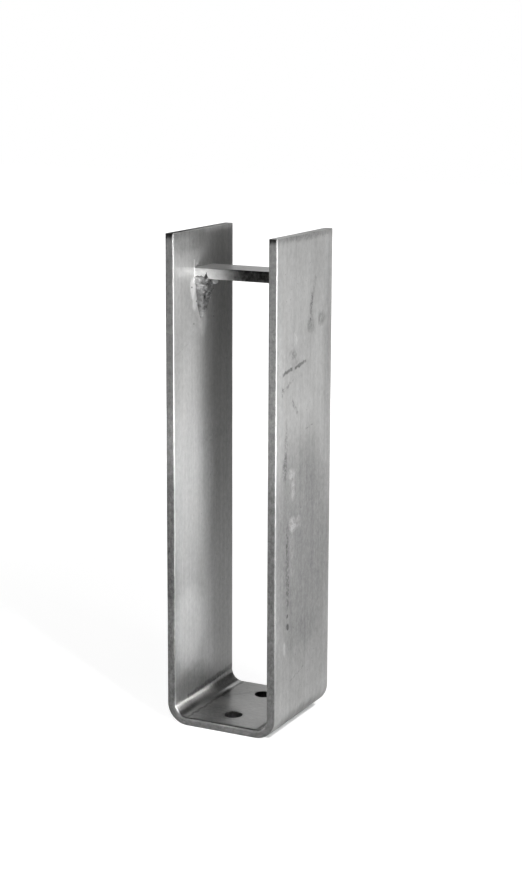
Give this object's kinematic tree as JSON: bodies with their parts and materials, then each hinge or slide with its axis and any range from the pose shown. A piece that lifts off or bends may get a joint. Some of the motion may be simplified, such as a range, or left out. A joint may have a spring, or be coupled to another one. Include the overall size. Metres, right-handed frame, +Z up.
{
  "type": "timber post base",
  "caption": "Tall U-shaped steel post base bent from flat bar, with bolt holes in its base and a flat cross bar welded between the legs.",
  "frame": {"origin": "middle of the underside of the base", "axes": "+Z up along the legs, +Y along the width of the strap and the row of holes, +X across the gap from the left leg to the right leg"},
  "size_m": [0.106, 0.11, 0.436],
  "materials": {
    "strap_steel": "mill finish hot-rolled steel, satin, fine rolling lines along the legs",
    "bar_steel": "mill finish flat bar, satin, brighter edges",
    "weld_metal": "rough weld metal as laid, rippled, unpainted"
  },
  "bodies": {
    "root": {"u_strap": "strap_steel", "cross_bar": "bar_steel", "weld_left": "weld_metal", "weld_right": "weld_metal"}
  },
  "joints": []
}
